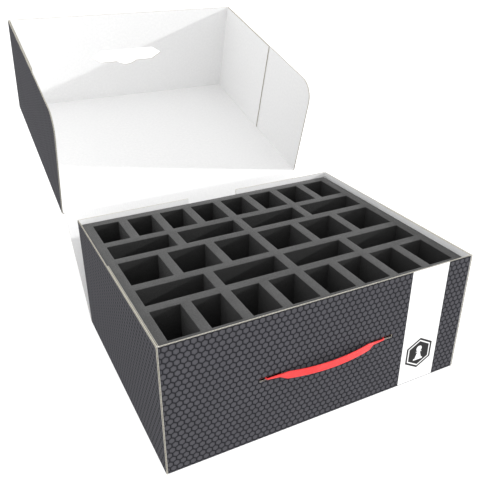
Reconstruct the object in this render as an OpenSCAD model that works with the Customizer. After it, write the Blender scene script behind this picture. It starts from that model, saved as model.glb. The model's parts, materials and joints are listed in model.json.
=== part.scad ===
/* [Foam trays] */
// Width of every foam tray, left to right
foam_w = 345; // [280:1:420]
// Depth of every foam tray, front to back
foam_d = 275; // [230:1:340]
// Height of one foam tray, with its floor sheet
tray_h = 46.5; // [30:0.5:60]
// Thickness of the floor sheet glued under a tray
floor_sheet = 5; // [2:0.5:8]
// Foam left standing between and around the compartments
rib = 11; // [5:0.5:16]
// Depth of the rows of long compartments
narrow_row = 31; // [20:1:45]
// Compartments in the first row and in the last row
columns_small = 8; // [4:1:10]
// Compartments in the middle row
columns_medium = 6; // [3:1:8]
// Compartments in each row of long ones
columns_long = 4; // [2:1:6]

/* [Board] */
// Thickness of the fluted board
board = 1.5; // [1:0.1:3]
// Room between the foam and the board at each side
foam_gap_x = 1; // [0.5:0.25:3]
// Room between the foam and the board at front and back
foam_gap_y = 0.75; // [0.5:0.25:3]
// Height of the walls above the foam
headroom = 6; // [2:0.5:20]
// Length of the flaps folded in from the front wall
front_flap_len = 152; // [60:1:170]
// Gap between the two flaps folded in behind the foam
rear_flap_parting = 68; // [10:1:120]

/* [Lid] */
// Running room between lid and base, at the sides and on top
lid_gap = 0.3; // [0.2:0.1:2]
// Height of the closed lid's lower edge above the table
lid_foot_gap = 4.5; // [1:0.5:30]
// Length of the lid's flaps folded in from its front flap
lid_flap_len = 153; // [60:1:180]
// Radius of the side flaps' free rear corner
lid_corner_r = 26; // [5:1:60]
// Room around each crease bead that a panel turns on
crease_gap = 0.25; // [0.15:0.05:1]
// Lean of the open back panel from upright
back_lean = 36; // [0:1:60]
// Turn of the open lid from closed, about the back panel's upper crease
lid_open = 127.5; // [0:0.5:180]

/* [Hand hole] */
// Overall width of the hand hole, point to point
hole_w = 119; // [80:1:160]
// Height of the hand hole between its long edges
hole_h = 21; // [16:1:30]
// Length of each pointed end
hole_point = 16; // [5:1:25]
// Width of the finger notch in the upper edge
notch_w = 32; // [15:1:50]
// Height of the finger notch
notch_h = 6; // [2:0.5:10]

/* [Handle] */
// Height of the strap's slots above the table
handle_z = 75.5; // [45:0.5:100]
// Distance between the middles of the two slots
slot_pitch = 133; // [90:1:180]
// Length of each slot
slot_l = 24.5; // [16:0.5:30]
// Height of each slot
slot_h = 4; // [3.8:0.1:6]
// How far outside the middles of the slots the necks rest
neck_offset = 3; // [-4:0.5:5]
// Sideways rest of the strap within its slots
strap_shift = -2; // [-4:0.5:4]
// Diameter of the necks
neck_d = 1.6; // [1:0.1:2]
// Diameter of the anchor bars behind the wall
anchor_d = 2; // [1.5:0.1:3]
// How much longer than its slot each anchor bar is, at each end
anchor_lap = 3; // [2:0.5:6]
// Height of the grip band
band_h = 8.5; // [6:0.5:13]
// Thickness of the grip band
band_t = 1.6; // [1:0.1:3]
// Length over which each end of the band narrows to its neck
shoulder_l = 10; // [6:0.5:16]
// How far the band stands out from the wall in the middle
band_bow = 8; // [6:0.5:20]
// How far the band sags in the middle
band_sag = 2.5; // [0:0.5:8]

/* [Hidden] */

tray_count = 3;
stack_gap = 0.1;                 // between one tray and the next
bar_play = 0.15;                 // between an anchor bar and the wall it lies behind
bar_relief = 0.4;                // foam cleared around the anchor bars
neck_stand = 0.45;               // between a neck and the wall it runs along
neck_clear = 0.25;               // between a neck and the closed lid's front flap
hole_clear = 1;                  // between the strap and the points of the hand hole
eps = 0.01;                      // overshoot of a cut past the face it opens

// the base, in a frame whose origin is the middle of its underside
wall_d = foam_d + 2 * foam_gap_y + 2 * board;
base_w = foam_w + 2 * foam_gap_x + 4 * board;
front_y = -wall_d / 2;
rear_y = wall_d / 2;
wall_h = board + tray_count * (tray_h + stack_gap) + headroom;
foam_y = front_y + board + foam_gap_y;

// the two creases that the open case turns on
back_crease_y = rear_y + crease_gap + board / 2;
back_crease_z = board / 2;
back_h = wall_h + lid_gap;

// the closed lid, about its own crease
lid_front_gap = neck_stand + neck_d + neck_clear;
lid_w = base_w + 2 * (lid_gap + 2 * board);
lid_reach = back_crease_y - front_y + lid_front_gap + board;
lid_start = board / 2 + crease_gap;
lid_drop = back_crease_z + back_h - board / 2 - lid_foot_gap;

// the strap, about its anchor bars
bar_y = front_y + board + bar_play + anchor_d / 2;
neck_y = front_y - neck_stand - neck_d / 2;
neck_pitch = slot_pitch + 2 * neck_offset;
neck_end = hole_w / 2 - abs(strap_shift) - hole_clear;  // where a neck leaves the wall
band_end = neck_end - shoulder_l;  // where the band has its full height
band_root = 2.4;                 // how much further out the band is there
anchor_l = slot_l + 2 * anchor_lap;

board_face = [0.29, 0.29, 0.31];
board_inner = [0.93, 0.93, 0.92];
foam_colour = [0.25, 0.26, 0.27];
strap_colour = [0.93, 0.27, 0.27];

// a board lying between two opposite corners
module slab(low, high) {
    translate(low) cube(high - low);
}

module mirror_pair(side) {
    if (side < 0) mirror([1, 0, 0]) children();
    else children();
}

// ---- base ----

module bottom_panel() {
    color(board_face)
        slab([-base_w / 2, front_y, 0], [base_w / 2, rear_y, board]);
}

module front_wall() {
    half = base_w / 2 - board;
    color(board_face)
        difference() {
            slab([-half, front_y, board], [half, front_y + board, wall_h]);
            for (side = [-1, 1])
                translate([side * slot_pitch / 2, front_y + board / 2, handle_z])
                    cube([slot_l, board + 2 * eps, slot_h], center = true);
        }
}

module side_wall(side) {
    color(board_face)
        mirror_pair(side)
            slab([base_w / 2 - board, front_y, board], [base_w / 2, rear_y, wall_h]);
}

module front_flap(side) {
    color(board_inner)
        mirror_pair(side)
            slab([base_w / 2 - 2 * board, front_y + board, board],
                 [base_w / 2 - board, front_y + board + front_flap_len, wall_h]);
}

module rear_flap(side) {
    color(board_inner)
        mirror_pair(side)
            slab([rear_flap_parting / 2, rear_y - board, board],
                 [base_w / 2 - board, rear_y, wall_h]);
}

// ---- back panel and lid ----

// places what is drawn upright, from the back crease, in the open case
module on_back_crease() {
    translate([0, back_crease_y, back_crease_z]) rotate([-back_lean, 0, 0]) children();
}

// places what is drawn closed, from the lid's crease, in the open case
module on_lid_crease() {
    on_back_crease() translate([0, 0, back_h]) rotate([-lid_open, 0, 0]) children();
}

module crease_bead(length) {
    rotate([0, 90, 0]) cylinder(d = board, h = length, center = true, $fn = 32);
}

module back_panel() {
    color(board_face)
        on_back_crease()
            union() {
                slab([-base_w / 2, -board / 2, 0], [base_w / 2, board / 2, back_h]);
                for (z = [0, back_h]) translate([0, 0, z]) crease_bead(base_w);
            }
}

module lid_top() {
    color(board_face)
        on_lid_crease()
            slab([-lid_w / 2, -lid_reach, -board / 2], [lid_w / 2, -lid_start, board / 2]);
}

module hand_hole() {
    long_edge = hole_w / 2 - hole_point;
    notch_r = (pow(notch_w / 2, 2) + pow(notch_h, 2)) / (2 * notch_h);
    polygon([[-hole_w / 2, 0], [-long_edge, -hole_h / 2], [long_edge, -hole_h / 2],
             [hole_w / 2, 0], [long_edge, hole_h / 2], [-long_edge, hole_h / 2]]);
    intersection() {
        translate([0, hole_h / 2 + notch_h - notch_r]) circle(r = notch_r, $fn = 96);
        translate([-notch_w / 2, 0]) square([notch_w, hole_h]);
    }
}

module lid_front_flap() {
    half = lid_w / 2 - board;
    hole_z = handle_z - band_sag / 2 - back_crease_z - back_h;
    color(board_face)
        on_lid_crease()
            difference() {
                slab([-half, -lid_reach, -board / 2 - lid_drop],
                     [half, board - lid_reach, -board / 2]);
                translate([0, board - lid_reach + eps, hole_z])
                    rotate([90, 0, 0])
                        linear_extrude(board + 2 * eps) hand_hole();
            }
}

module lid_side_flap(side) {
    color(board_face)
        on_lid_crease()
            mirror_pair(side)
                translate([lid_w / 2 - board, 0, -board / 2 - lid_drop])
                    rotate([90, 0, 90])
                        linear_extrude(board)
                            difference() {
                                translate([-lid_reach, 0])
                                    square([lid_reach - lid_start, lid_drop]);
                                translate([-lid_start - lid_corner_r, 0])
                                    difference() {
                                        translate([0, -eps])
                                            square([lid_corner_r + eps, lid_corner_r + eps]);
                                        translate([0, lid_corner_r])
                                            circle(r = lid_corner_r, $fn = 96);
                                    }
                            }
}

module lid_corner_flap(side) {
    color(board_inner)
        on_lid_crease()
            mirror_pair(side)
                slab([lid_w / 2 - 2 * board, board - lid_reach, -board / 2 - lid_drop],
                     [lid_w / 2 - board, board - lid_reach + lid_flap_len, -board / 2]);
}

// ---- handle ----

// how far the strap's centreline stands out from the anchor bars at x
function strap_out(x) =
    let (a = abs(x), rise = (neck_end - a) / (neck_end - band_end),
         root = neck_y - front_y, far = root - band_root)
    a >= neck_end ? root
    : a >= band_end ? root - band_root * rise * rise * (3 - 2 * rise)
    : far - (band_bow + far) * (1 - pow(a / band_end, 2));

// how far it sags at x
function strap_fall(x) = -band_sag * (1 - pow(2 * x / neck_pitch, 2));

// the height of its section at x, and the thickness
function strap_height(x) =
    let (part = min(1, max(0, (neck_end - abs(x)) / (neck_end - band_end))))
    neck_d + (band_h - neck_d) * part * part * (3 - 2 * part);
function strap_thick(x) =
    let (part = min(1, max(0, (neck_end - abs(x)) / (neck_end - band_end))))
    neck_d + (band_t - neck_d) * part;

// one closed section of the strap: a rounded bar standing across the x axis
function strap_section(x) =
    let (h = strap_height(x) / 2, t = strap_thick(x) / 2, straight = max(0, h - t))
    [for (i = [0 : 11])
        let (a = i * 30 + 15)
        [x, front_y + strap_out(x) + t * cos(a),
         handle_z + strap_fall(x) + t * sin(a) + sign(sin(a)) * straight]];

module band() {
    rings = 60;
    sides = 12;
    xs = [for (i = [0 : rings]) neck_pitch * (i / rings - 0.5)];
    points = [for (x = xs) each strap_section(x)];
    first = [for (k = [0 : sides - 1]) k];
    last = [for (k = [sides - 1 : -1 : 0]) rings * sides + k];
    walls = [for (i = [0 : rings - 1], k = [0 : sides - 1])
        let (a = i * sides + k, b = i * sides + (k + 1) % sides)
        [a, a + sides, b + sides, b]];
    polyhedron(points, concat([first, last], walls), convexity = 4);
}

module anchor(side) {
    translate([side * neck_pitch / 2, 0, handle_z]) {
        translate([0, bar_y, 0])
            rotate([0, 90, 0]) cylinder(d = anchor_d, h = anchor_l, center = true, $fn = 32);
        translate([0, neck_y, 0])
            rotate([-90, 0, 0]) cylinder(d = neck_d, h = bar_y - neck_y, $fn = 24);
        translate([0, neck_y, 0]) sphere(d = neck_d, $fn = 24);
    }
}

module handle_strap() {
    color(strap_colour)
        translate([strap_shift, 0, 0])
            union() {
                band();
                for (side = [-1, 1]) anchor(side);
            }
}

// ---- foam trays ----

function tray_z(level) = board + level * (tray_h + stack_gap);

// a row of equal compartments that starts depth y behind the foam's front
module row_of(count, y, depth, height) {
    cell = (foam_w - (count + 1) * rib) / count;
    for (i = [0 : count - 1])
        translate([rib + i * (cell + rib), y, -eps])
            cube([cell, depth, height + 2 * eps]);
}

module compartments(height) {
    wide_row = (foam_d - 6 * rib - 2 * narrow_row) / 3;
    counts = [columns_small, columns_long, columns_medium, columns_long, columns_small];
    depths = [wide_row, narrow_row, wide_row, narrow_row, wide_row];
    starts = [for (i = 0, y = rib; i < 5; y = y + depths[i] + rib, i = i + 1) y];
    for (i = [0 : 4]) row_of(counts[i], starts[i], depths[i], height);
}

// the shallow channels that the anchor bars press into the front of the foam
module bar_channels(low, high) {
    reach = anchor_l + 2 * bar_relief;
    deep = bar_y + anchor_d / 2 + bar_relief;
    for (side = [-1, 1])
        translate([strap_shift + side * neck_pitch / 2 - reach / 2, foam_y - eps, low])
            cube([reach, deep - foam_y + eps, high - low]);
}

module tray_grid(level) {
    z = tray_z(level) + floor_sheet;
    height = tray_h - floor_sheet;
    top = min(z + height, handle_z + anchor_d / 2 + bar_relief);
    color(foam_colour)
        difference() {
            translate([-foam_w / 2, foam_y, z])
                difference() {
                    cube([foam_w, foam_d, height]);
                    compartments(height);
                }
            if (top > z) bar_channels(z - eps, top + eps);
        }
}

module tray_floor(level) {
    z = tray_z(level);
    top = min(z + floor_sheet, handle_z + anchor_d / 2 + bar_relief);
    color(foam_colour)
        difference() {
            translate([-foam_w / 2, foam_y, z]) cube([foam_w, foam_d, floor_sheet]);
            if (top > z) bar_channels(z - eps, top + eps);
        }
}

bottom_panel();
front_wall();
side_wall(-1);  // left_wall
side_wall(1);  // right_wall
front_flap(-1);  // front_flap_left
front_flap(1);  // front_flap_right
rear_flap(-1);  // rear_flap_left
rear_flap(1);  // rear_flap_right
back_panel();
lid_top();
lid_front_flap();
lid_side_flap(-1);  // lid_side_flap_left
lid_side_flap(1);  // lid_side_flap_right
lid_corner_flap(-1);  // lid_corner_flap_left
lid_corner_flap(1);  // lid_corner_flap_right
handle_strap();
tray_grid(2);  // top_tray_grid
tray_floor(2);  // top_tray_floor
tray_grid(1);  // middle_tray_grid
tray_floor(1);  // middle_tray_floor
tray_grid(0);  // bottom_tray_grid
tray_floor(0);  // bottom_tray_floor
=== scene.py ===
import json
import math

import bmesh
import bpy
from mathutils import Matrix, Vector
from mathutils.geometry import tessellate_polygon


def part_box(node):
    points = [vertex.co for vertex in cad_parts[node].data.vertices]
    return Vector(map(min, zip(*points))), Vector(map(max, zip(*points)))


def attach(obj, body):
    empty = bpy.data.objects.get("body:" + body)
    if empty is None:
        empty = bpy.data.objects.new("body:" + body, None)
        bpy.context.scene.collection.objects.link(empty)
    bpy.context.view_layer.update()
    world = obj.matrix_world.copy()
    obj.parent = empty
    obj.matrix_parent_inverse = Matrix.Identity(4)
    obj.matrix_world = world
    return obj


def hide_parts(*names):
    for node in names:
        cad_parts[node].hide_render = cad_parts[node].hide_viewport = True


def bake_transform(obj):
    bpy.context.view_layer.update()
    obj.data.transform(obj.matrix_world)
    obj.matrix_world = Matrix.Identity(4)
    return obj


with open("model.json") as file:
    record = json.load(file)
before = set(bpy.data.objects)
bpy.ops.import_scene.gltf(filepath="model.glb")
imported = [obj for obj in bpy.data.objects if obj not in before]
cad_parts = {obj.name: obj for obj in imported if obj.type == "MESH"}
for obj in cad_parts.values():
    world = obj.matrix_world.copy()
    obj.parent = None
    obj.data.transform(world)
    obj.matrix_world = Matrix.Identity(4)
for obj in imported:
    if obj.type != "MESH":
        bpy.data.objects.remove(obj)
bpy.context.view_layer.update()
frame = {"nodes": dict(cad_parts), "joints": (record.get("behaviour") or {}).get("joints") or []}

mm = 0.001
sameSpot = 0.002 * mm       # corners of a CAD mesh nearer than this are one
up = Vector((0, 0, 1))
right = Vector((1, 0, 0))
back = Vector((0, 1, 0))


# the back panel stands upright and the lid is closed in their own frames, which turn about the two creases

joints = {j["name"]: j for j in frame["joints"]}
backCrease = Vector(joints["back_hinge"]["pos_m"])
lidCrease = Vector(joints["lid_hinge"]["pos_m"])
backLean = math.radians(-joints["back_hinge"]["range_deg"][0])
lidOpen = math.radians(-joints["lid_hinge"]["range_deg"][0])
backHeight = (lidCrease - backCrease).length

basePlace = Matrix.Identity(4)
backPlace = Matrix.Translation(backCrease) @ Matrix.Rotation(-backLean, 4, "X")
lidPlace = backPlace @ Matrix.Translation(up * backHeight) @ Matrix.Rotation(-lidOpen, 4, "X")
handlePlace = joints["handle_swing"]["pos_m"]


def boxIn(node, place):
    # lowest and highest corner of a CAD node, in the frame that place leads out of
    inverse = place.inverted()
    points = [inverse @ v.co for v in frame["nodes"][node].data.vertices]
    low = Vector([min(p[i] for p in points) for i in range(3)])
    high = Vector([max(p[i] for p in points) for i in range(3)])
    return low, high


baseLow, baseHigh = boxIn("bottom_panel", basePlace)
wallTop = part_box("front_wall")[1].z
board = baseHigh.z
halfBase = baseHigh.x
lidLow, lidHigh = boxIn("lid_top", lidPlace)
halfLid = lidHigh.x
print("frame: board", round(board / mm, 2), "mm, base", round(2 * halfBase / mm, 1), "mm wide")


# small helpers for meshes and shader nodes

def newObject(name, mesh, *materials):
    obj = bpy.data.objects.new(name, mesh)
    bpy.context.scene.collection.objects.link(obj)
    for material in materials:
        obj.data.materials.append(material)
    return obj


def meshFrom(bm, name):
    mesh = bpy.data.meshes.new(name)
    bm.to_mesh(mesh)
    bm.free()
    return mesh


def baked(obj):
    # the object with its modifiers worked into a plain mesh
    graph = bpy.context.evaluated_depsgraph_get()
    mesh = bpy.data.meshes.new_from_object(obj.evaluated_get(graph), depsgraph=graph)
    obj.modifiers.clear()
    obj.data = mesh
    return obj


class Shader:
    def __init__(self, name):
        self.material = bpy.data.materials.new(name)
        self.material.use_nodes = True
        self.tree = self.material.node_tree
        self.surface = self.tree.nodes["Principled BSDF"]

    def node(self, kind, *inputs, **settings):
        made = self.tree.nodes.new(kind)
        for key, value in settings.items():
            setattr(made, key, value)
        for socket, value in zip(made.inputs, inputs):
            self.put(value, socket)
        return made

    def put(self, value, socket):
        if isinstance(value, bpy.types.NodeSocket):
            self.tree.links.new(value, socket)
        elif value is not None:
            socket.default_value = value

    def math(self, operation, *inputs, clamp=False):
        return self.node("ShaderNodeMath", *inputs, operation=operation, use_clamp=clamp).outputs[0]

    def vector(self, operation, *inputs):
        made = self.node("ShaderNodeVectorMath", *inputs, operation=operation)
        return made.outputs["Value" if operation in ("LENGTH", "DOT_PRODUCT") else "Vector"]

    def parts(self, vector):
        return self.node("ShaderNodeSeparateXYZ", vector).outputs

    def ramp(self, value, low, high, start=0.0, end=1.0):
        # a smooth step of value from start to end
        made = self.node("ShaderNodeMapRange", value, low, high, start, end,
                         interpolation_type="SMOOTHSTEP")
        return made.outputs[0]

    def mix(self, factor, first, second):
        made = self.node("ShaderNodeMix", data_type="RGBA")
        self.put(factor, made.inputs["Factor"])
        self.put(first, made.inputs[6])
        self.put(second, made.inputs[7])
        return made.outputs[2]

    def grain(self, vector, scale, detail=4.0, roughness=0.6, kind="ShaderNodeTexNoise"):
        made = self.node(kind)
        self.put(vector, made.inputs["Vector"])
        made.inputs["Scale"].default_value = scale
        if kind == "ShaderNodeTexNoise":
            made.inputs["Detail"].default_value = detail
            made.inputs["Roughness"].default_value = roughness
        return made.outputs[0]

    def bump(self, height, depth, strength=1.0, below=None):
        made = self.node("ShaderNodeBump")
        made.inputs["Strength"].default_value = strength
        made.inputs["Distance"].default_value = depth
        self.put(height, made.inputs["Height"])
        if below is not None:
            self.put(below, made.inputs["Normal"])
        return made.outputs[0]

    def finish(self, colour, roughness, normal=None, **sockets):
        self.put(colour, self.surface.inputs["Base Color"])
        self.put(roughness, self.surface.inputs["Roughness"])
        if normal is not None:
            self.put(normal, self.surface.inputs["Normal"])
        for name, value in sockets.items():
            self.surface.inputs[name].default_value = value
        return self.material


def grey(value, tint=0.0):
    return (value * (1 - tint), value * (1 - tint * 0.6), value, 1)


# board: a printed liner, a white liner and the fluting between them

boardLook = {
    "liner": 0.22 * mm,
    "medium": 0.17 * mm,
    "flutePitch": 3.3 * mm,
    "fluteSteps": 8,
    "foldSteps": 6,
    "cutInset": 0.06 * mm,
    "white": 0.86,
    "edge": (0.86, 0.84, 0.77, 1),
    "fluting": (0.50, 0.46, 0.37, 1),
}
printLook = {
    "cellWidth": 6.63 * mm,
    "rowHeight": 5.74 * mm,
    "line": 0.075,             # half width of the line between cells, of a cell's width
    "cell": (0.068, 0.067, 0.075, 1),
    "cellLight": (0.090, 0.089, 0.100, 1),
    "lineColour": (0.018, 0.018, 0.021, 1),
    "stripe": (96.5 * mm, 144.7 * mm),
    "mark": (120.6 * mm, 38.5 * mm),
    "markSize": 17.5 * mm,
    "ink": grey(0.035),
    "paper": (0.88, 0.88, 0.875, 1),
    "stripeEdge": 0.12 * mm,
    "markEdge": 0.02,          # how soft the mark's outline is, of its size
    "roughness": 0.62,
    "specular": 0.02,
}


def washboard(s, uv, along):
    # the faint ridges that the fluting presses into a liner
    coordinate = s.parts(uv)[1 if along == "u" else 0]
    return s.math("SINE", s.math("MULTIPLY", coordinate, 2 * math.pi / boardLook["flutePitch"]))


def hexCells(s, uv):
    # 0 in the middle of a cell to 0.5 on the line between two
    stretched = s.vector("MULTIPLY", uv, (1 / printLook["cellWidth"], 0.866 / printLook["rowHeight"], 0))
    wrapped = []
    for shift in [(0, 0, 0), (0.5, 0.866, 0)]:
        moved = s.vector("SUBTRACT", stretched, shift)
        wrapped.append(s.vector("WRAP", moved, (0.5, 0.866, 1), (-0.5, -0.866, -1)))
    nearer = s.math("LESS_THAN", s.vector("LENGTH", wrapped[0]), s.vector("LENGTH", wrapped[1]))
    choose = s.node("ShaderNodeMix", data_type="VECTOR")
    s.put(nearer, choose.inputs["Factor"])
    s.put(wrapped[1], choose.inputs[4])
    s.put(wrapped[0], choose.inputs[5])
    inCell = s.vector("ABSOLUTE", choose.outputs[1])
    slanted = s.vector("DOT_PRODUCT", inCell, (0.5, 0.866, 0))
    return s.math("MAXIMUM", s.parts(inCell)[0], slanted)


def pawnMark(s, uv):
    # a board-game pawn in a six-sided frame, 1 where there is ink
    size = printLook["markSize"]
    centre = (printLook["mark"][0], printLook["mark"][1], 0)
    p = s.vector("DIVIDE", s.vector("SUBTRACT", uv, centre), (size, size, 1))
    x, y, _ = s.parts(s.vector("ABSOLUTE", p))
    height = s.parts(p)[1]
    shape = s.math("MAXIMUM", x, s.vector("DOT_PRODUCT", s.vector("ABSOLUTE", p), (0.5, 0.866, 0)))
    soft = printLook["markEdge"]

    def inside(value, limit):
        return s.ramp(value, limit - soft, limit + soft, 1.0, 0.0)

    def between(low, high):
        return s.math("MULTIPLY", s.ramp(height, low - soft, low + soft), inside(height, high))

    ring = s.math("MULTIPLY", inside(shape, 1.0), s.ramp(shape, 0.86 - soft, 0.86 + soft))
    field = inside(shape, 0.78)
    head = inside(s.vector("LENGTH", s.vector("SUBTRACT", p, (0, 0.33, 0))), 0.21)
    collar = s.math("MULTIPLY", inside(x, 0.22), between(0.07, 0.13))
    flare = s.math("MULTIPLY_ADD", height, -0.32, 0.13)
    body = s.math("MULTIPLY", inside(s.math("SUBTRACT", x, flare), 0.0), between(-0.42, 0.1))
    foot = s.math("MULTIPLY", inside(x, 0.36), between(-0.52, -0.4))
    pawn = s.math("MAXIMUM", s.math("MAXIMUM", head, collar), s.math("MAXIMUM", body, foot))
    inked = s.math("SUBTRACT", field, pawn, clamp=True)
    return s.math("MAXIMUM", ring, inked)


def printedLiner(name, along, striped=False):
    s = Shader(name)
    uv = s.node("ShaderNodeUVMap", uv_map="UVMap").outputs[0]
    distance = hexCells(s, uv)
    rough = s.grain(uv, 900)
    cloud = s.grain(uv, 28, 3)
    line = s.ramp(distance, 0.5 - 1.9 * printLook["line"], 0.5 - 0.7 * printLook["line"])
    cell = s.mix(cloud, printLook["cell"], printLook["cellLight"])
    cell = s.mix(s.ramp(distance, 0.12, 0.46, 0.0, 0.28), cell, printLook["lineColour"])
    colour = s.mix(line, cell, printLook["lineColour"])
    if striped:
        u = s.parts(uv)[0]
        low, high = printLook["stripe"]
        edge = printLook["stripeEdge"]
        fromLow = s.ramp(u, low - edge, low + edge)
        toHigh = s.ramp(u, high - edge, high + edge, 1.0, 0.0)
        stripe = s.math("MULTIPLY", fromLow, toHigh)
        paper = s.mix(pawnMark(s, uv), printLook["paper"], printLook["ink"])
        colour = s.mix(stripe, colour, paper)
    ridges = s.bump(washboard(s, uv, along), 0.02 * mm, 0.6)
    fibres = s.bump(rough, 0.03 * mm, 0.35, ridges)
    roughness = s.math("MULTIPLY_ADD", cloud, 0.1, printLook["roughness"])
    return s.finish(colour, roughness, fibres, **{"Specular IOR Level": printLook["specular"]})


def whiteLiner(name, along):
    s = Shader(name)
    uv = s.node("ShaderNodeUVMap", uv_map="UVMap").outputs[0]
    fibre = s.grain(uv, 1500, 3)
    mottle = s.grain(uv, 260, 5, 0.7)
    cloud = s.grain(uv, 14, 2)
    tone = boardLook["white"]
    colour = s.mix(s.ramp(mottle, 0.35, 0.7), grey(tone * 0.95), grey(tone, -0.006))
    colour = s.mix(s.ramp(cloud, 0.3, 0.7, 0.0, 0.4), colour, grey(tone * 0.97, 0.004))
    ridges = s.bump(washboard(s, uv, along), 0.03 * mm, 0.5)
    pitted = s.bump(mottle, 0.06 * mm, 0.45, ridges)
    return s.finish(colour, 0.72, s.bump(fibre, 0.02 * mm, 0.4, pitted), **{"Specular IOR Level": 0.25})


def rawPaper(name, colour):
    s = Shader(name)
    place = s.node("ShaderNodeTexCoord").outputs["Object"]
    fibre = s.grain(place, 2600, 3, 0.7)
    darker = tuple(c * 0.72 for c in colour[:3]) + (1,)
    return s.finish(s.mix(s.ramp(fibre, 0.3, 0.75), darker, colour), 0.9, s.bump(fibre, 0.05 * mm, 0.5))


printed = {a: printedLiner("printed_liner_" + a, a) for a in "uv"}
printedFront = printedLiner("printed_front", "v", striped=True)
white = {a: whiteLiner("white_liner_" + a, a) for a in "uv"}
cutEdge = rawPaper("cut_edge", boardLook["edge"])
fluting = rawPaper("fluting", boardLook["fluting"])


def fluteTree():
    # a waved sheet of paper, Across wide and Along long, as one closed solid
    tree = bpy.data.node_groups.new("fluting", "GeometryNodeTree")
    tree.interface.new_socket("Geometry", in_out="INPUT", socket_type="NodeSocketGeometry")
    for name in ["Across", "Along", "Pitch", "Wave height", "Paper"]:
        tree.interface.new_socket(name, in_out="INPUT", socket_type="NodeSocketFloat")
    tree.interface.new_socket("Steps", in_out="INPUT", socket_type="NodeSocketInt")
    tree.interface.new_socket("Material", in_out="INPUT", socket_type="NodeSocketMaterial")
    tree.interface.new_socket("Geometry", in_out="OUTPUT", socket_type="NodeSocketGeometry")
    link, new = tree.links.new, tree.nodes.new
    given = new("NodeGroupInput").outputs

    def calculate(operation, *values):
        made = new("ShaderNodeMath")
        made.operation = operation
        for socket, value in zip(made.inputs, values):
            if isinstance(value, bpy.types.NodeSocket):
                link(value, socket)
            else:
                socket.default_value = value
        return made.outputs[0]

    sheet = new("GeometryNodeMeshGrid")
    link(given["Across"], sheet.inputs["Size X"])
    link(given["Along"], sheet.inputs["Size Y"])
    steps = calculate("MULTIPLY", calculate("DIVIDE", given["Across"], given["Pitch"]), given["Steps"])
    link(calculate("CEIL", calculate("ADD", steps, 1.0)), sheet.inputs["Vertices X"])
    sheet.inputs["Vertices Y"].default_value = 2
    split = new("ShaderNodeSeparateXYZ")
    link(new("GeometryNodeInputPosition").outputs[0], split.inputs[0])
    turn = calculate("DIVIDE", calculate("MULTIPLY", split.outputs[0], 2 * math.pi), given["Pitch"])
    lift = new("ShaderNodeCombineXYZ")
    link(calculate("MULTIPLY", calculate("SINE", turn), given["Wave height"]), lift.inputs[2])
    wave = new("GeometryNodeSetPosition")
    link(sheet.outputs[0], wave.inputs["Geometry"])
    link(lift.outputs[0], wave.inputs["Offset"])
    thick = new("GeometryNodeExtrudeMesh")
    thick.inputs["Individual"].default_value = False
    link(wave.outputs[0], thick.inputs["Mesh"])
    link(given["Paper"], thick.inputs["Offset Scale"])
    under = new("GeometryNodeFlipFaces")
    link(wave.outputs[0], under.inputs[0])
    join = new("GeometryNodeJoinGeometry")
    link(under.outputs[0], join.inputs[0])
    link(thick.outputs[0], join.inputs[0])
    merge = new("GeometryNodeMergeByDistance")
    link(join.outputs[0], merge.inputs["Geometry"])
    merge.inputs["Distance"].default_value = 0.001 * mm
    realize = new("GeometryNodeRealizeInstances")
    link(merge.outputs[0], realize.inputs[0])
    finish = new("GeometryNodeSetMaterial")
    link(realize.outputs[0], finish.inputs["Geometry"])
    link(given["Material"], finish.inputs["Material"])
    link(finish.outputs[0], new("NodeGroupOutput").inputs[0])
    return tree


flutes = fluteTree()


def treeInputs(modifier, tree, **values):
    for item in tree.interface.items_tree:
        if item.item_type == "SOCKET" and item.in_out == "INPUT" and item.name in values:
            modifier[item.identifier] = values[item.name]


def fluteSheet(low, high, along, cutter=None):
    # the fluting of one panel between two corners of its plane, cut to the panel's own outline
    width, length = high - low
    if along == "u":
        width, length = length, width
    obj = newObject("fluting", bpy.data.meshes.new("fluting"))
    modifier = obj.modifiers.new("fluting", "NODES")
    modifier.node_group = flutes
    paper = boardLook["medium"]
    room = board - 2 * boardLook["liner"]
    values = {"Across": width, "Along": length, "Pitch": boardLook["flutePitch"], "Paper": paper,
              "Wave height": (room - paper) / 2, "Steps": boardLook["fluteSteps"], "Material": fluting}
    treeInputs(modifier, flutes, **values)
    baked(obj)
    turn = Matrix.Rotation(math.pi / 2, 4, "Z") if along == "u" else Matrix.Identity(4)
    middle = (low + high) / 2
    obj.data.transform(Matrix.Translation((middle.x, middle.y, (board - paper) / 2)) @ turn)
    if cutter is not None:
        cut = obj.modifiers.new("outline", "BOOLEAN")
        cut.operation, cut.solver, cut.object = "INTERSECT", "EXACT", cutter
        bpy.context.view_layer.update()
        baked(obj)
    return obj


def chained(edges):
    # loops of points from the boundary edges of a flat region
    following = {}
    for a, b in edges:
        following[a] = b
    loops = []
    while following:
        start = next(iter(following))
        loop, at = [], start
        while at in following:
            loop.append(at)
            at = following.pop(at)
        loops.append(loop)
    return loops


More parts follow.
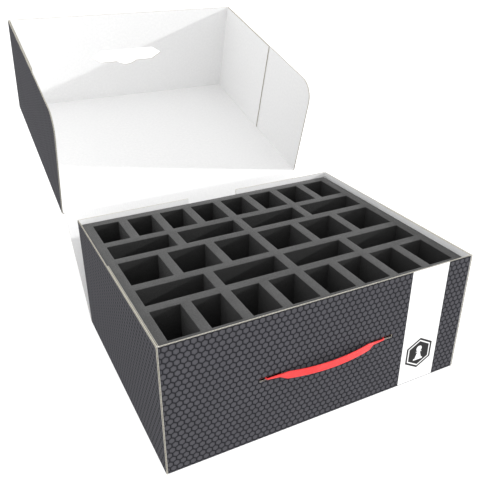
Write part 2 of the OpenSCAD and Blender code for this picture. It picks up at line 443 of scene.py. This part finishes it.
def outlineOf(node, place, limits):
    # the outline and the holes of a CAD panel's outer face, in the panel's own plane
    bm = bmesh.new()
    bm.from_mesh(frame["nodes"][node].data)
    bmesh.ops.transform(bm, matrix=place.inverted(), verts=bm.verts)
    bmesh.ops.remove_doubles(bm, verts=bm.verts, dist=sameSpot)
    top = max(v.co.z for v in bm.verts)
    closest = 0.01 * mm
    flat = {f for f in bm.faces if all(abs(v.co.z - top) < closest for v in f.verts)}
    edges = []
    for face in flat:
        for loop in face.loops:
            if sum(f in flat for f in loop.edge.link_faces) == 1:
                edges.append((loop.vert, loop.link_loop_next.vert))
    low, high = limits
    loops = []
    for chain in chained(edges):
        points = [Vector((min(max(v.co.x, low.x), high.x), min(max(v.co.y, low.y), high.y)))
                  for v in chain]
        loops.append([p for p, q in zip(points, points[1:] + points[:1]) if (p - q).length > closest])
    bm.free()
    loops.sort(key=len)
    loops.sort(key=lambda loop: -(max(p.x for p in loop) - min(p.x for p in loop)))
    return loops


def addSheet(bm, loops, low, high, under, over, side):
    # a flat sheet between two heights, with a material for each side of it
    rings = []
    for height in (low, high):
        rings.append([[bm.verts.new((p.x, p.y, height)) for p in loop] for loop in loops])
    bottom = [v for ring in rings[0] for v in ring]
    top = [v for ring in rings[1] for v in ring]
    flat = [[Vector((p.x, p.y, 0)) for p in loop] for loop in loops]
    for a, b, c in tessellate_polygon(flat):
        turn = (top[b].co - top[a].co).cross(top[c].co - top[a].co).z
        first, second = (b, c) if turn > 0 else (c, b)
        bm.faces.new((top[a], top[first], top[second])).material_index = over
        bm.faces.new((bottom[a], bottom[second], bottom[first])).material_index = under
    for lower, upper in zip(*rings):
        count = len(lower)
        for i in range(count):
            j = (i + 1) % count
            bm.faces.new((lower[i], lower[j], upper[j], upper[i])).material_index = side


def uvLayer(bm):
    return bm.loops.layers.uv.get("UVMap") or bm.loops.layers.uv.new("UVMap")


def flatUv(bm):
    layer = uvLayer(bm)
    for face in bm.faces:
        for loop in face.loops:
            loop[layer].uv = (loop.vert.co.x, loop.vert.co.y)


def joinMeshes(name, objects, materials):
    # one plain mesh from several, whose material numbers are kept
    bm = bmesh.new()
    uvLayer(bm)
    for obj, shift in objects:
        before = len(bm.faces)
        bm.from_mesh(obj.data)
        bm.faces.ensure_lookup_table()
        for face in bm.faces[before:]:
            face.material_index += shift
        bpy.data.objects.remove(obj)
    return newObject(name, meshFrom(bm, name), *materials)


def panelPlace(node, closed, u, v):
    # from the panel's plane, with its inner face at height 0, to the row frame
    outward = u.cross(v)
    low, high = boxIn(node, closed)
    inner = min(low.dot(outward), high.dot(outward))
    axes = Matrix((u, v, outward)).transposed().to_4x4()
    return closed @ Matrix.Translation(outward * inner) @ axes


def foldBar(start, end, first, second, reach, uvFrom, uvTurn):
    # the rounded outside of a crease between two panels, whose outward normals are first and second
    bm = bmesh.new()
    layer = uvLayer(bm)
    steps = boardLook["foldSteps"]
    rows = []
    for point in (start, end):
        row = [point]
        for i in range(steps + 1):
            angle = math.pi / 2 * i / steps
            row.append(point + reach * (math.cos(angle) * first + math.sin(angle) * second))
        rows.append([bm.verts.new(p) for p in row])
    length = (end - start).length
    for i in range(1, steps + 1):
        face = bm.faces.new((rows[0][i], rows[0][i + 1], rows[1][i + 1], rows[1][i]))
        arcs = [reach * math.pi / 2 * (k - 1) / steps for k in (i, i + 1, i + 1, i)]
        runs = [0, 0, length, length]
        for loop, arc, run in zip(face.loops, arcs, runs):
            loop[layer].uv = (uvFrom[0] + uvTurn[0] * arc + uvTurn[2] * run,
                              uvFrom[1] + uvTurn[1] * arc + uvTurn[3] * run)
    bm.faces.new((rows[0][0], rows[0][1], rows[1][1], rows[1][0])).material_index = 1
    bm.faces.new((rows[0][-1], rows[0][0], rows[1][0], rows[1][-1])).material_index = 1
    bm.faces.new(rows[0]).material_index = 2
    bm.faces.new(list(reversed(rows[1]))).material_index = 2
    bmesh.ops.recalc_face_normals(bm, faces=bm.faces)
    return newObject("fold", meshFrom(bm, "fold"))


def boardPiece(node, body, closed, u, v, along, name, cuts=(), folds=(), face=None):
    # one board panel: two liners, the fluting between them, and the folds that it carries
    place = panelPlace(node, closed, u, v)
    low, high = boxIn(node, place)
    low, high = low.to_2d(), high.to_2d()
    for side in cuts:
        axis = 0 if side[1] == "u" else 1
        if side[0] == "-":
            low[axis] += board
        else:
            high[axis] -= board
    loops = outlineOf(node, place, (low, high))
    bm = bmesh.new()
    liner = boardLook["liner"]
    addSheet(bm, loops, board - liner, board, 2, 0, 2)
    addSheet(bm, loops, 0, liner, 1, 2, 2)
    flatUv(bm)
    sheets = newObject("liners", meshFrom(bm, "liners"))
    cutter = None
    if len(loops) > 1 or len(loops[0]) > 4:
        bm = bmesh.new()
        addSheet(bm, loops, -board, 2 * board, 0, 0, 0)
        cutter = newObject("cutter", meshFrom(bm, "cutter"))
    inset = Vector((boardLook["cutInset"],) * 2)
    medium = fluteSheet(low + inset, high - inset, along, cutter)
    if cutter is not None:
        bpy.data.objects.remove(cutter)
    for obj in (sheets, medium):
        obj.data.transform(place)
    parts = [(sheets, 0), (medium, 3)] + [(obj, 0) for obj in folds]
    outer = face or printed[along]
    piece = joinMeshes(name, parts, (outer, white[along], cutEdge, fluting))
    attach(piece, body)
    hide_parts(node)
    return piece


def inPlace(closed, objects):
    for obj in objects:
        obj.data.transform(closed)
    return objects


# the base

front = baseLow.y
rear = baseHigh.y
inner = halfBase - board
bottomFolds = [foldBar(Vector((-inner, front + board, board)), Vector((inner, front + board, board)),
                       -back, -up, board, (-inner, board), (0, -1, 1, 0))]
for side in (-1, 1):
    start = Vector((side * inner, front, board))
    end = Vector((side * inner, rear - board, board))
    bottomFolds.append(foldBar(start, end, right * side, -up, board,
                               (side * front, board), (0, -1, side, 0)))
boardPiece("bottom_panel", "base", basePlace, -right, back, "v",
           cuts=("-u", "+u", "-v"), folds=bottomFolds, name="bottomPanel")

frontFolds = []
for side in (-1, 1):
    corner = Vector((side * (inner - board), front + board, 0))
    frontFolds.append(foldBar(corner + up * board, corner + up * wallTop, -back, right * side, board,
                              (side * (inner - board), board), (side, 0, 0, 1)))
boardPiece("front_wall", "base", basePlace, right, up, "v",
           cuts=("-u", "+u"), folds=frontFolds, face=printedFront, name="frontWall")

for side, word in ((-1, "left"), (1, "right")):
    corner = Vector((side * inner, rear - board, 0))
    rearFold = foldBar(corner + up * board, corner + up * wallTop, right * side, back, board,
                       (side * (rear - board), board), (side, 0, 0, 1))
    boardPiece(word + "_wall", "base", basePlace, back * side, up, "u",
               cuts=("+u" if side > 0 else "-u",), folds=[rearFold], name=word + "Wall")
    boardPiece("front_flap_" + word, "base", basePlace, back * side, up, "v",
               name="frontFlap" + word.title())
    boardPiece("rear_flap_" + word, "base", basePlace, -right, up, "u",
               name="rearFlap" + word.title())
print("base built")


# the back panel and the lid

boardPiece("back_panel", "back", backPlace, -right, up, "v",
           cuts=("-v", "+v"), name="backPanel")

reach = -lidLow.y
lidInner = halfLid - board
lidUnder = lidLow.z
lidFoot = boxIn("lid_front_flap", lidPlace)[0].z
lidFront = board - reach
topFolds = [foldBar(Vector((-lidInner, lidFront, lidUnder)), Vector((lidInner, lidFront, lidUnder)),
                    up, -back, board, (-lidInner, lidFront), (0, -1, 1, 0))]
for side in (-1, 1):
    topFolds.append(foldBar(Vector((side * lidInner, -reach, lidUnder)),
                            Vector((side * lidInner, lidHigh.y, lidUnder)),
                            up, right * side, board, (side * lidInner, -reach), (side, 0, 0, 1)))
boardPiece("lid_top", "lid", lidPlace, right, back, "v", cuts=("-u", "+u", "-v"),
           folds=inPlace(lidPlace, topFolds), name="lidTop")

flapFolds = []
for side in (-1, 1):
    corner = Vector((side * (lidInner - board), lidFront, 0))
    flapFolds.append(foldBar(corner + up * lidFoot, corner + up * lidUnder, -back, right * side, board,
                             (side * (lidInner - board), lidFoot), (side, 0, 0, 1)))
boardPiece("lid_front_flap", "lid", lidPlace, right, up, "v", cuts=("-u", "+u"),
           folds=inPlace(lidPlace, flapFolds), name="lidFrontFlap")
for side, word in ((-1, "left"), (1, "right")):
    boardPiece("lid_side_flap_" + word, "lid", lidPlace, back * side, up, "u",
               name="lidSideFlap" + word.title())
    boardPiece("lid_corner_flap_" + word, "lid", lidPlace, back * side, up, "v",
               name="lidCornerFlap" + word.title())
print("lid built")


# the two creases that the case opens on

creaseLook = {
    "steps": 14,
    "pinch": 0.45,          # thickness of the creased board, of the whole
    "backReach": (1.0 * mm, 1.5 * mm),
    "lidReach": (1.5 * mm, 1.0 * mm),
}


def creaseWeb(name, place, forward, outward, turn, reaches, width, material):
    # a strip of board that bends round the crease, from the end of one panel to the start of the next
    bm = bmesh.new()
    layer = uvLayer(bm)
    steps = creaseLook["steps"]
    rows = []
    for i in range(steps + 1):
        share = i / steps
        run = -reaches[0] + share * sum(reaches)
        weight = share * share * (3 - 2 * share)
        near = 1 - abs(2 * share - 1)
        half = board / 2 * (1 - (1 - creaseLook["pinch"]) * near ** 2 * (3 - 2 * near))
        spin = Matrix.Rotation(turn * weight, 4, "X")
        ring = []
        for x in (-width / 2, width / 2):
            for offset in (-half, half):
                point = spin @ (forward * run + outward * offset)
                ring.append(bm.verts.new(place @ (point + right * x)))
        rows.append((run, ring))
    for (run, a), (nextRun, b) in zip(rows, rows[1:]):
        for low, high, index in ((1, 3, 0), (0, 2, 1), (0, 1, 2), (2, 3, 2)):
            face = bm.faces.new((a[low], a[high], b[high], b[low]))
            face.material_index = index
            for loop, at, side in zip(face.loops, (run, run, nextRun, nextRun), (-1, 1, 1, -1)):
                loop[layer].uv = (side * width / 2, at)
    for ring in (rows[0][1], rows[-1][1]):
        bm.faces.new((ring[0], ring[1], ring[3], ring[2])).material_index = 2
    bmesh.ops.recalc_face_normals(bm, faces=bm.faces)
    piece = newObject(name, meshFrom(bm, name), *material)
    spin = Matrix.Rotation(turn, 4, "X")
    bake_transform(piece)
    return piece


creaseMaterials = (printed["v"], white["v"], cutEdge)
creaseWeb("backCrease", Matrix.Translation(backCrease), back, -up,
          math.pi / 2 - backLean, creaseLook["backReach"], 2 * halfBase, creaseMaterials)
creaseWeb("lidCrease", backPlace @ Matrix.Translation(up * backHeight), up, back,
          math.pi / 2 - lidOpen, creaseLook["lidReach"], 2 * halfBase, creaseMaterials)
print("creases built")


# the strap handle

strapLook = {
    "neck": 1.6 * mm,
    "height": 8.5 * mm,
    "thick": 1.6 * mm,
    "shoulder": 10 * mm,
    "bow": 8 * mm,
    "sag": 2.5 * mm,
    "standOff": 0.45 * mm,      # from the wall to the necks
    "neckEnd": 56.5 * mm,
    "pitch": 139 * mm,
    "shift": -2 * mm,
    "root": 2.4 * mm,
    "barLength": 30.5 * mm,
    "bar": 1.5 * mm,
    "barTip": 0.02 * mm,
    "neckTall": 3.2 * mm,       # height of the necks beside the band
    "rim": 1.7 * mm,            # width of the raised rim round the band's face
    "recess": 0.28 * mm,
    "steps": 120,
    "sharp": 35,                # edges turning more than this stay sharp
    "red": [(0.80, 0.026, 0.028, 1), (0.89, 0.042, 0.044, 1)],
    # the anchor bars' near-black red is painted shade, for the dark of the slots they sit behind
    "paintedShadeBarRed": [(0.075, 0.006, 0.006, 1), (0.11, 0.009, 0.009, 1)],
}


def mouldedPlastic(name, tones):
    s = Shader(name)
    place = s.node("ShaderNodeTexCoord").outputs["Object"]
    cloud = s.grain(place, 60, 3)
    fine = s.grain(place, 1800)
    colour = s.mix(s.ramp(cloud, 0.3, 0.7), *tones)
    roughness = s.math("MULTIPLY_ADD", fine, 0.14, 0.36)
    return s.finish(colour, roughness, s.bump(fine, 0.03 * mm, 0.35), **{"Specular IOR Level": 0.5})


def strapSection(height, thick, depth):
    # a rounded bar with a shallow recess in its outer face, as (outwards, upwards) points
    half, flat = height / 2, thick / 2
    radius = flat * 0.96
    points = []
    for middle, start in (((flat - radius, half - radius), 0), ((radius - flat, half - radius), 90),
                          ((radius - flat, radius - half), 180), ((flat - radius, radius - half), 270)):
        for i in range(5):
            angle = math.radians(start + i * 22.5)
            points.append((middle[0] + radius * math.cos(angle), middle[1] + radius * math.sin(angle)))
    rim = max(half - strapLook["rim"], 0.0)
    bevel = 0.35 * min(rim, 1 * mm)
    for z in (-rim, -rim + bevel, rim - bevel, rim):
        inset = depth if abs(z) < rim - bevel / 2 else 0.0
        points.append((flat - inset, z))
    return points


def strapRoute():
    # centre, height and thickness along the strap, from one anchor bar to the other
    look = strapLook
    wallFace = front
    neckOut = wallFace - look["standOff"] - look["neck"] / 2
    barY = handlePlace[1]
    end = look["neckEnd"] - look["shoulder"]
    halfPitch = look["pitch"] / 2
    bend = look["neck"] * 0.9
    stations = []
    for i in range(look["steps"] + 1):
        x = (i / look["steps"] - 0.5) * 2 * (halfPitch - bend)
        a = abs(x)
        rise = min(1.0, max(0.0, (look["neckEnd"] - a) / look["shoulder"]))
        eased = rise * rise * (3 - 2 * rise)
        out = neckOut - wallFace - look["root"] * eased
        if a < end:
            far = neckOut - wallFace - look["root"]
            out = far - (look["bow"] + far) * (1 - (a / end) ** 2)
        drop = -look["sag"] * (1 - (x / halfPitch) ** 2)
        slim = min(1.0, max(0.0, (halfPitch - bend - a) / (halfPitch - bend - look["neckEnd"])))
        neck = look["neck"] + (look["neckTall"] - look["neck"]) * slim
        height = neck + (look["height"] - neck) * eased
        thick = look["neck"] + (look["thick"] - look["neck"]) * rise
        stations.append((Vector((x, wallFace + out, drop)), height, thick, eased))
    for sign, put in ((-1, lambda s: stations.insert(0, s)), (1, stations.append)):
        for angle in (22.5, 45, 67.5, 90):
            turn = math.radians(angle)
            x = sign * (halfPitch - bend + bend * math.sin(turn))
            y = neckOut + bend * (1 - math.cos(turn))
            put((Vector((x, y, 0)), look["neck"], look["neck"], 0.0))
        put((Vector((sign * halfPitch, barY, 0)), look["neck"], look["neck"], 0.0))
    return stations


def strapMesh():
    bm = bmesh.new()
    stations = strapRoute()
    rings = []
    for i, (centre, height, thick, eased) in enumerate(stations):
        ahead = stations[min(i + 1, len(stations) - 1)][0] - stations[max(i - 1, 0)][0]
        ahead.z = 0
        outwards = ahead.normalized().cross(up)
        section = strapSection(height, thick, strapLook["recess"] * eased)
        rings.append([bm.verts.new(centre + outwards * a + up * b) for a, b in section])
    for one, two in zip(rings, rings[1:]):
        for k in range(len(one)):
            m = (k + 1) % len(one)
            bm.faces.new((one[k], one[m], two[m], two[k]))
    bm.faces.new(rings[0])
    bm.faces.new(rings[-1])
    band = len(bm.faces)
    for sign in (-1, 1):
        addBar(bm, Vector((sign * strapLook["pitch"] / 2, handlePlace[1], 0)))
    bm.faces.ensure_lookup_table()
    for face in bm.faces[band:]:
        face.material_index = 1
    bmesh.ops.recalc_face_normals(bm, faces=bm.faces)
    shift = Vector((strapLook["shift"], 0, handlePlace[2]))
    bmesh.ops.translate(bm, verts=bm.verts, vec=shift)
    return meshFrom(bm, "strap")


def addBar(bm, centre):
    # an anchor bar with rounded ends, lying along x behind the wall
    radius, half = strapLook["bar"] / 2, strapLook["barLength"] / 2
    ends = [(90 - i * 18, half - radius) for i in range(6)]
    stations = [(-run - radius * math.cos(math.radians(a)), radius * math.sin(math.radians(a)))
                for a, run in reversed(ends)]
    stations += [(run + radius * math.cos(math.radians(a)), radius * math.sin(math.radians(a)))
                 for a, run in ends]
    rings = []
    for x, r in stations:
        ring = []
        wide = max(r, strapLook["barTip"])
        for k in range(16):
            angle = math.radians(22.5 * k)
            ring.append(bm.verts.new(centre + Vector((x, wide * math.cos(angle), wide * math.sin(angle)))))
        rings.append(ring)
    for one, two in zip(rings, rings[1:]):
        for k in range(16):
            bm.faces.new((one[k], one[(k + 1) % 16], two[(k + 1) % 16], two[k]))
    bm.faces.new(rings[0])
    bm.faces.new(rings[-1])


# the anchor bar material is red darkened to near black, a painted shade
strap = newObject("strapHandle", strapMesh(), mouldedPlastic("moulded_red", strapLook["red"]),
                  mouldedPlastic("anchor_bar_painted_shade", strapLook["paintedShadeBarRed"]))
for polygon in strap.data.polygons:
    polygon.use_smooth = True
strap.data.set_sharp_from_angle(angle=math.radians(strapLook["sharp"]))
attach(strap, "handle")
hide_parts("handle_strap")
print("strap built")


# the foam trays

foamLook = {
    "edge": 0.7 * mm,           # width of the softening along a cut edge
    "edgeSteps": 3,
    "light": grey(0.092),
    "dark": grey(0.050),
    "pore": grey(0.03),
    # near black that the cut walls are painted towards, a painted shade
    "deep": grey(0.006),
    "wall": 0.22,               # how much of the top's colour a cut wall keeps under the painted shade
}


def foamCharcoal(name, lift):
    s = Shader(name)
    place = s.node("ShaderNodeTexCoord").outputs["Object"]
    cells = s.node("ShaderNodeTexVoronoi")
    s.put(place, cells.inputs["Vector"])
    cells.inputs["Scale"].default_value = 1250
    pores = s.ramp(cells.outputs["Distance"], 0.1, 0.62)
    fine = s.grain(place, 700, 4, 0.65)
    cloud = s.grain(place, 35, 3)
    tone = s.math("ADD", s.math("MULTIPLY", fine, 0.75), s.math("MULTIPLY", cloud, 0.25))
    colour = s.mix(s.ramp(tone, 0.32, 0.68), foamLook["dark"], foamLook["light"])
    colour = s.mix(s.math("MULTIPLY_ADD", pores, 0.45, 0.55), foamLook["pore"], colour)
    # painted shade: cut walls are darkened towards near black by their direction, while the top keeps its
    # colour
    facing = s.math("ABSOLUTE", s.parts(s.node("ShaderNodeTexCoord").outputs["Normal"])[2])
    shade = s.ramp(facing, 0.2, 0.9, foamLook["wall"], 1.0)
    colour = s.mix(shade, foamLook["deep"], colour)
    bumps = s.bump(pores, 0.35 * mm, 0.5, s.bump(fine, 0.5 * mm, 0.5))
    return s.finish(colour, 0.95, bumps, **{"Specular IOR Level": 0.12, "Sheen Weight": lift})


def foamPiece(name, node, body, material):
    # the CAD foam with every cut edge softened
    bm = bmesh.new()
    bm.from_mesh(frame["nodes"][node].data)
    bmesh.ops.remove_doubles(bm, verts=bm.verts, dist=sameSpot)
    bmesh.ops.dissolve_limit(bm, angle_limit=math.radians(1), verts=bm.verts, edges=bm.edges)
    piece = newObject(name, meshFrom(bm, name), material)
    soften = piece.modifiers.new("soften", "BEVEL")
    soften.width = foamLook["edge"]
    soften.segments = foamLook["edgeSteps"]
    soften.limit_method = "ANGLE"
    soften.angle_limit = math.radians(40)
    baked(piece)
    piece.data.polygons.foreach_set("use_smooth", [True] * len(piece.data.polygons))
    piece.data.set_sharp_from_angle(angle=math.radians(50))
    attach(piece, body)
    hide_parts(node)
    return piece


foamGrid = foamCharcoal("foam_grid", 0.15)
foamFloor = foamCharcoal("foam_floor", 0.05)
for level in ("top", "middle", "bottom"):
    foamPiece(level + "TrayGrid", level + "_tray_grid", level + "_tray", foamGrid)
    foamPiece(level + "TrayFloor", level + "_tray_floor", level + "_tray", foamFloor)
print("foam built")


# the studio

studioLook = {
    "camera": Vector((-291.88, -530.55, 452.09)) * mm,
    "yaw": 26.605,
    "pitch": 27.234,
    "roll": -0.268,
    "focal": 601.66 / 480,
    "shift": (-2.33 / 480, 1.79 / 480),
    "sunFrom": Vector((1.0, -0.4, 0.28)),
    "sunPower": 2.2,
    "sunSize": 1.5,
    "sky": 1.14,
    "floorRadius": 9,
    "floorTones": (grey(0.36), grey(0.38)),
    "floorGlow": 0.82,
}


def studioFloor():
    s = Shader("studio_floor")
    place = s.node("ShaderNodeTexCoord").outputs["Object"]
    cloud = s.grain(place, 3, 2)
    glow = {"Specular IOR Level": 0.0, "Emission Color": (1, 1, 1, 1),
            "Emission Strength": studioLook["floorGlow"]}
    s.finish(s.mix(cloud, *studioLook["floorTones"]), 0.9, **glow)
    bm = bmesh.new()
    bmesh.ops.create_circle(bm, cap_ends=True, segments=96, radius=studioLook["floorRadius"])
    floor = newObject("studioFloor", meshFrom(bm, "studioFloor"), s.material)


def studioCamera():
    look = studioLook
    data = bpy.data.cameras.new("camera")
    data.sensor_width = 36
    data.lens = look["focal"] * 36
    data.shift_x, data.shift_y = look["shift"]
    data.clip_start, data.clip_end = 0.02, 40
    camera = bpy.data.objects.new("camera", data)
    bpy.context.scene.collection.objects.link(camera)
    yaw, pitch = math.radians(look["yaw"]), math.radians(look["pitch"])
    turn = Matrix.Rotation(-yaw, 4, "Z") @ Matrix.Rotation(math.pi / 2 - pitch, 4, "X")
    roll = Matrix.Rotation(math.radians(look["roll"]), 4, "Z")
    camera.matrix_world = Matrix.Translation(look["camera"]) @ turn @ roll
    bpy.context.scene.camera = camera


def studioLights():
    scene = bpy.context.scene
    world = bpy.data.worlds.new("studio")
    world.use_nodes = True
    background = world.node_tree.nodes["Background"]
    background.inputs["Color"].default_value = (1, 1, 1, 1)
    background.inputs["Strength"].default_value = studioLook["sky"]
    scene.world = world
    data = bpy.data.lights.new("sun", "SUN")
    data.energy = studioLook["sunPower"]
    data.angle = math.radians(studioLook["sunSize"])
    sun = bpy.data.objects.new("sun", data)
    sun.rotation_euler = studioLook["sunFrom"].to_track_quat("Z", "Y").to_euler()
    scene.collection.objects.link(sun)
    scene.view_settings.view_transform = "Standard"


studioFloor()
studioCamera()
studioLights()
print("studio built")
